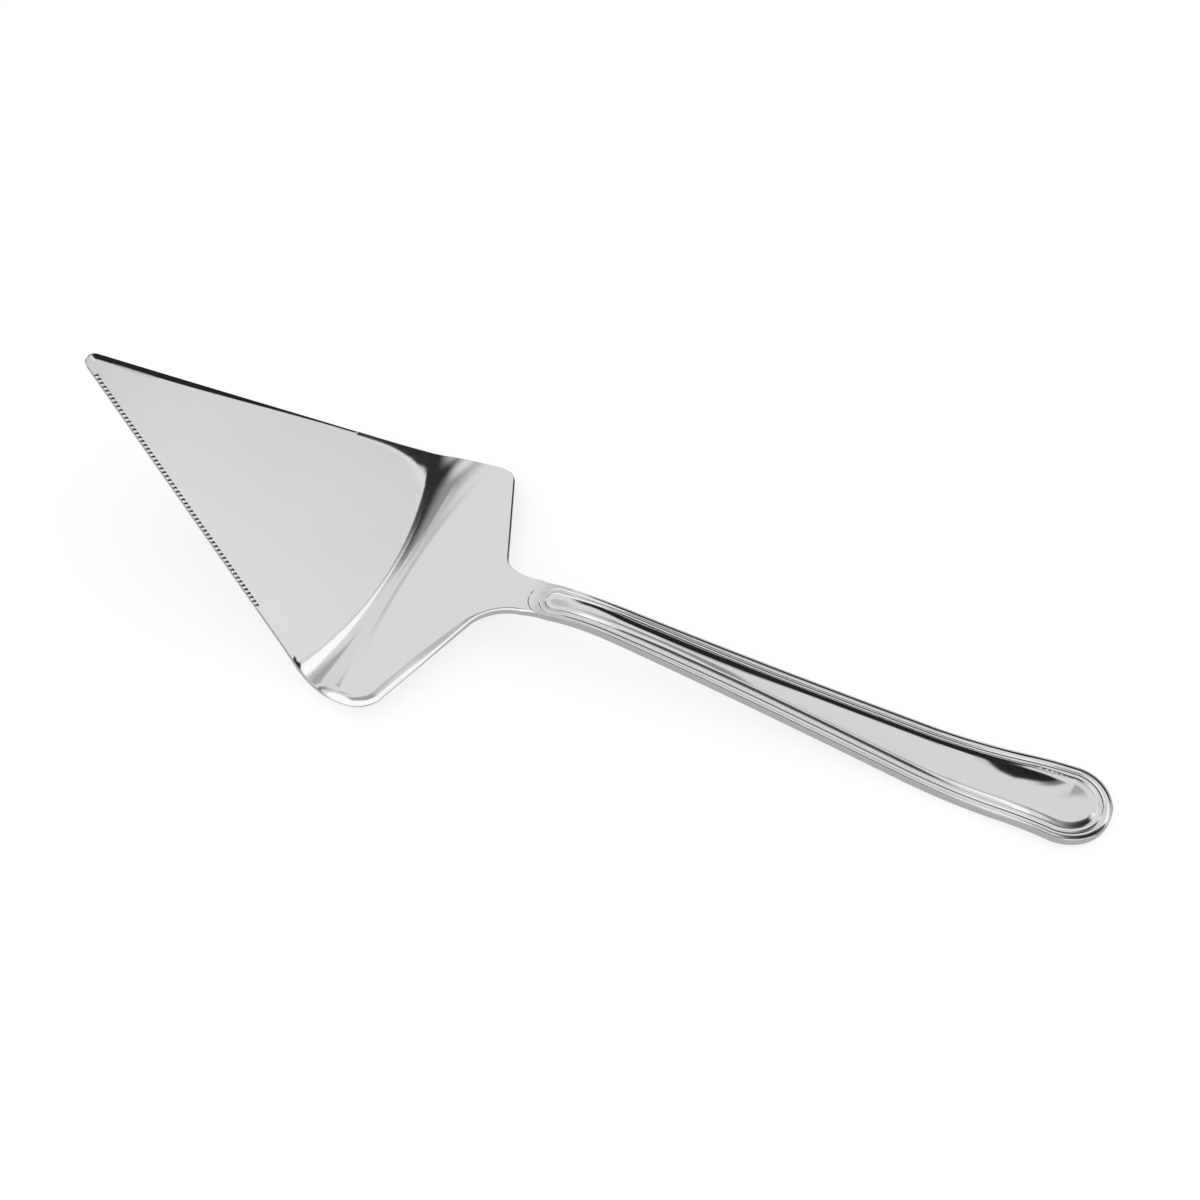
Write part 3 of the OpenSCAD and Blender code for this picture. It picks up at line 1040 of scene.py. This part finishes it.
    def half_rows(self, side: Side) -> Array:
        """Return the rows of one half, from the joint to the round end.

        Args:
            side: Which long edge of the handle.

        Returns:
            Points by row and column, from under the middle over the edge to the top middle.
        """
        lines = self.lines
        nose = lines.joint_x + self.nose_setback
        nose_half = float(lines.half_handle(nose))
        sides = np.linspace(nose, lines.round_x, self.side_rows)[1:-1]
        flat = np.zeros(len(sides))
        turn = np.linspace(0, math.pi / 2, self.round_rows)
        angle = np.concatenate([turn - math.pi / 2, flat, turn])
        centre = self.by_row(nose, sides, lines.round_x)
        rim_half = self.by_row(nose_half, lines.half_handle(sides), lines.handle_width / 2)
        squash = self.by_row(math.cos(lines.joint_tilt), flat, math.cos(lines.end_slope))
        rim_round = self.edge_round * blend(centre - lines.joint_x, self.edge_round_grows)
        panel = self.border(centre) + self.thread_spacing + self.thread_groove / 2
        inset = self.spread(rim_half, rim_round, panel)
        radius = rim_half[:, None] - inset
        x = centre[:, None] + squash[:, None] * radius * np.sin(angle)[:, None]
        y = radius * np.cos(angle)[:, None]
        x, y = self.reach_joint(x, y, inset, angle, nose, nose_half)
        relief = self.relief(np.broadcast_to(centre[:, None], inset.shape), inset, rim_half[:, None], side)
        rows = self.wrap(x, y, relief, angle, lines.slope(centre), rim_round)
        rows[..., 1] *= side.value
        return rows

    def wrap(self, x: Array, y: Array, relief: Array, angle: Array, slope: Array,
             rim_round: Array) -> Array:
        """Lift the top points, round the rim below them and lay the underside.

        Args:
            x: Places along, by row and column from the rim to the middle.
            y: Places across.
            relief: Heights over the server's lines.
            angle: Which way each row faces, from straight sideways.
            slope: Slope of each row's centre.
            rim_round: Radius of the rim's rounding, by row.

        Returns:
            Points by row and column.
        """
        lines = self.lines
        normal = lines.bent_normal(x)
        base = np.stack([x, y, lines.rise(x)], axis=-1)
        top = base + normal * relief[..., None]
        forward = np.sin(angle)
        outward = np.stack([forward * np.cos(slope), np.cos(angle), forward * np.sin(slope)], axis=-1)
        below = base[:, :1] - normal[:, :1] * lines.thickness(x[:, :1])[..., None]
        rim = Steelworker.rounded_rim(base[:, :1], below, normal[:, :1], outward[:, None, :],
                                      rim_round[:, None, None], self.edge_angles)
        share = np.linspace(1.0, 0.0, self.under_columns)
        under_x = x[:, :1] + (x[:, -1:] - x[:, :1]) * share
        under_y = y[:, :1] + (y[:, -1:] - y[:, :1]) * share
        under = np.stack([under_x, under_y, lines.rise(under_x)], axis=-1)
        under = under - lines.bent_normal(under_x) * lines.thickness(under_x)[..., None]
        return np.concatenate([under, *rim, top], axis=1)

    def spread(self, half: Array, rim_round: Array, panel: Array) -> Array:
        """Place the columns: even over the border, then even over the panel.

        Args:
            half: Half width, by row.
            rim_round: Where the columns start, by row.
            panel: Where the panel starts, by row.

        Returns:
            Distances in from the rim, by row and column.
        """
        edge, seam, middle = rim_round[:, None], panel[:, None], half[:, None]
        border = mix(edge, seam, np.linspace(0, 1, self.border_columns))
        crown = mix(seam, middle, np.linspace(0, 1, self.panel_columns + 1)[1:])
        return np.concatenate([border, crown], axis=1)

    def reach_joint(self, x: Array, y: Array, inset: Array, angle: Array, nose: float,
                    nose_half: float) -> tuple[Array, Array]:
        """Stretch the land in front of the border forward to the round joint.

        Args:
            x: Places along, by row and column from the rim to the middle.
            y: Places across.
            inset: Distances in from the rim.
            angle: Which way each row faces, from straight sideways.
            nose: Place along of the middle of the border's round front.
            nose_half: Half the width there.

        Returns:
            The stretched places along and across.
        """
        lines = self.lines
        turn = angle[:, None]
        share = fall_off(inset, self.border_at_neck - self.thread_groove / 2) * (turn < 0)
        joint_x = lines.joint_x + lines.joint_radius * math.cos(lines.joint_tilt) * np.sin(turn)
        joint_y = np.minimum(lines.joint_radius * np.cos(turn), nose_half)
        nose_x = nose + nose_half * math.cos(lines.joint_tilt) * np.sin(turn)
        nose_y = nose_half * np.cos(turn)
        return x + (joint_x - nose_x) * share, y + (joint_y - nose_y) * share

    def dress(self, piece: bpy.types.Object) -> None:
        """Give the handle its finish and its place in the frame.

        Args:
            piece: The handle.
        """
        piece.data.materials.append(self.steel.make())
        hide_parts("handle")
        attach(piece, "root")


@dataclass(frozen=True)
class Patch:
    """A soft-edged lamp or dark card of the surround, by its turn from the far side and its climb.

    Angles are in degrees, and a positive turn is toward the handle end. Each edge is a pair: where the patch
    starts to show and where it covers all. A patch can lean, so that its low and high edges rise or fall
    with the turn, and its level can rise across it.
    """

    left: Span
    right: Span
    low: Span
    high: Span
    level: float
    level_rise: float = 0.0
    level_across: Span = (0.0, 1.0)
    level_direction: Span = (0.63, 0.777)
    lean: float = 0.0
    lean_from: float = 0.0
    lean_span: float = 0.0
    both_ways: bool = False

    def cover(self, light: Signal | float, turn: Signal, climb: Signal) -> Signal:
        """Return the light with this patch laid over it.

        Args:
            light: The light so far.
            turn: Direction round the object.
            climb: Direction over the horizon.

        Returns:
            The light after it.
        """
        side = turn.math("ABSOLUTE") if self.both_ways else turn
        level = self.level
        if self.level_rise:
            across = turn * self.level_direction[0] + climb * self.level_direction[1]
            level = across.between(*self.level_across) * self.level_rise + self.level
        upright = climb
        if self.lean:
            leaning = (self.lean_from - turn).math("MAXIMUM", 0.0).math("MINIMUM", self.lean_span)
            upright = climb - leaning * self.lean
        shape = side.between(*self.left) * side.between(*self.right)
        shape = shape * upright.between(*self.low) * upright.between(*self.high)
        return shape * (level - light) + light


@dataclass
class Studio:
    """The pale floor, the soft surround that the steel mirrors, and the camera."""

    pose: RestingPose
    camera_place: tuple[float, float, float] = (-1.6, -577.4, 806.4)
    look_at: tuple[float, float, float] = (133.2, 18.8, 15.0)
    roll: float = math.radians(0.52)
    focal: float = 4290.8
    picture: float = 1200.0
    sensor: float = 36.0
    camera_range: Span = (0.01, 50.0)
    floor_size: float = 6.0
    floor_gap: float = 0.0002
    floor_paint: float = 0.9
    floor_glow: float = 0.62
    floor_mirrored: float = 0.5
    floor_mirrored_behind: float = 0.05
    floor_behind: Span = (0.0, 0.035)
    soft_light: float = 0.45
    open_light: float = 0.85
    brightest: float = 1.2
    patches: tuple[Patch, ...] = (
        # White high over the serrated side, for the drooped rim
        Patch((-75, -65), (-32, -42), (62, 67), (84, 78), 1.0),
        # Grey ribbon along the rim of the shoulder, and white outside it
        Patch((-80, -72), (-48, -53), (34, 39), (53, 49), 0.42),
        Patch((-125, -115), (-40, -48), (50, 53), (84, 76), 1.2),
        # Grey beside the bend, on its serrated and on its plain side
        Patch((-20, -3), (13, 3), (38, 45), (57, 54), 0.44),
        Patch((-44, -12), (44, 30), (50, 57), (68, 62), 0.32),
        # Grey ribbon round the serrated side's corner
        Patch((-45, -38), (-12, -20), (49, 52), (62, 58), 0.62, lean=-0.6, lean_from=-20, lean_span=30),
        # Graded light for the flat of the blade
        Patch((2, 6), (95, 80), (-10, 0), (54, 52), 0.576, 0.37, (48.6, 61)),
        # White for the start of the bend on the serrated side
        Patch((8, 16), (32, 29.5), (45, 46.3), (52.5, 49.5), 1.2),
        # Dark for the start of the bend on the plain side, and for the raised lip
        Patch((-4, 22), (70, 62), (45.4, 47.2), (72, 58), 0.03, lean=0.65, lean_from=33, lean_span=10),
        Patch((40.3, 41.5), (70, 62), (43.2, 44), (72, 58), 0.03),
        # Even light for the middle panel of the handle
        Patch((-15, -10), (17, 13), (48.2, 49.2), (55, 53.8), 0.82, lean=0.12, lean_from=9, lean_span=24),
        Patch((-26, -21), (-3, -7), (44.5, 46), (54, 52.3), 0.82),
        Patch((-34, -30), (-12, -16), (43, 45), (52, 49.5), 0.82),
        # Dark on the far side, for the plain side of the handle and for its swell
        Patch((-27, -22), (44, 36), (-20, -8), (41, 37), 0.02),
        Patch((-28, -23), (24, 18), (33, 36), (43.3, 41.3), 0.02),
        Patch((-14, -9), (24, 18), (30, 38), (46, 43), 0.02),
        # Dark for the flanks of the teeth
        Patch((46, 52), (92, 80), (10, 20), (47, 42), 0.03),
        # Dark round the camera
        Patch((145, 158), (200, 190), (22, 32), (89, 84), 0.08, both_ways=True),
    )

    def camera(self) -> None:
        """Put up the camera at the photograph's view."""
        places = self.pose.lay_down(np.array([self.camera_place, self.look_at]))
        eye, target = Vector(places[0]), Vector(places[1])
        bpy.ops.object.camera_add(location=eye)
        camera = bpy.context.object
        aim = (target - eye).to_track_quat("-Z", "Y")
        camera.rotation_euler = (aim @ Quaternion((0.0, 0.0, 1.0), self.roll)).to_euler()
        camera.data.sensor_width = self.sensor
        camera.data.lens = self.focal / self.picture * self.sensor
        camera.data.clip_start, camera.data.clip_end = self.camera_range
        bpy.context.scene.camera = camera

    def floor(self) -> None:
        """Lay the pale floor, white to the camera and softly shaded by the server."""
        Steelworker.deselect()
        bpy.ops.mesh.primitive_plane_add(size=self.floor_size, location=(0, 0, -self.floor_gap))
        floor = bpy.context.object
        floor.name = "floor"
        material = bpy.data.materials.new("pale_floor")
        material.use_nodes = True
        nodes = Nodes(material.node_tree)
        path = nodes.add("ShaderNodeLightPath")
        paint = nodes.add("ShaderNodeBsdfDiffuse", {}, {"Color": (*[self.floor_paint] * 3, 1.0)})
        glow = nodes.add("ShaderNodeEmission", {}, {"Color": WHITE, "Strength": self.floor_glow})
        place = nodes.add("ShaderNodeSeparateXYZ", {}, {0: nodes.add("ShaderNodeTexCoord").outputs["Object"]})
        behind = Signal(nodes, place.outputs["Y"]).between(*self.floor_behind)
        near, far = (nodes.add("ShaderNodeEmission", {}, {"Color": WHITE, "Strength": strength})
                     for strength in (self.floor_mirrored, self.floor_mirrored_behind))
        white = nodes.add("ShaderNodeAddShader", {}, {0: paint.outputs[0], 1: glow.outputs[0]})
        seen = nodes.mix(path.outputs["Is Camera Ray"], paint, white)
        done = nodes.mix(path.outputs["Is Glossy Ray"], seen, nodes.mix(behind, near, far))
        nodes.add("ShaderNodeOutputMaterial", {}, {"Surface": done.outputs[0]})
        floor.data.materials.append(material)

    def surround(self) -> None:
        """Fill the world with soft lights and dark gaps between them, for the steel to mirror."""
        scene = bpy.context.scene
        world = bpy.data.worlds.new("studio")
        scene.world = world
        world.use_nodes = True
        nodes = Nodes(world.node_tree)
        path = nodes.add("ShaderNodeLightPath")
        direction = nodes.add("ShaderNodeTexCoord").outputs["Generated"]
        unit = nodes.add("ShaderNodeVectorMath", {"operation": "NORMALIZE"}, {0: direction}).outputs[0]
        parts = nodes.add("ShaderNodeSeparateXYZ", {}, {0: unit})
        across, back, height = (Signal(nodes, parts.outputs[axis]) for axis in "XYZ")
        turn = across.math("ARCTAN2", back) * math.degrees(1.0)
        climb = height.math("ARCSINE") * math.degrees(1.0)
        light = self.open_light
        for patch in self.patches:
            light = patch.cover(light, turn, climb)
        dark, bright, plain, seen = (
            nodes.add("ShaderNodeBackground", {}, {"Color": WHITE, "Strength": strength})
            for strength in (0.0, self.brightest, self.soft_light, 1.0))
        mirrored = nodes.mix(light * (1 / self.brightest), dark, bright)
        lit = nodes.mix(path.outputs["Is Glossy Ray"], plain, mirrored)
        done = nodes.mix(path.outputs["Is Camera Ray"], lit, seen)
        nodes.add("ShaderNodeOutputWorld", {}, {"Surface": done.outputs[0]})
        scene.view_settings.view_transform = "Standard"

    def build(self) -> None:
        """Set up surround, floor and camera."""
        self.surround()
        self.floor()
        self.camera()


def main() -> None:
    """Build the server and its studio, and report each piece."""
    logging.basicConfig(level=logging.INFO, format="%(name)s: %(message)s")
    lines = ServerLines()
    pose = RestingPose(lines)
    blade = Blade(lines, pose, PolishedSteel("blade_polish", line_direction=(0.0, 1.0, 0.0)), "blade_sheet")
    handle = Handle(lines, pose, PolishedSteel("handle_polish"), "handle_bar")
    for part in (blade, handle):
        piece = part.build()
        part.dress(piece)
        log.info("%s: %d vertices", piece.name, len(piece.data.vertices))
    Studio(pose).build()


if __name__ == "__main__":
    main()
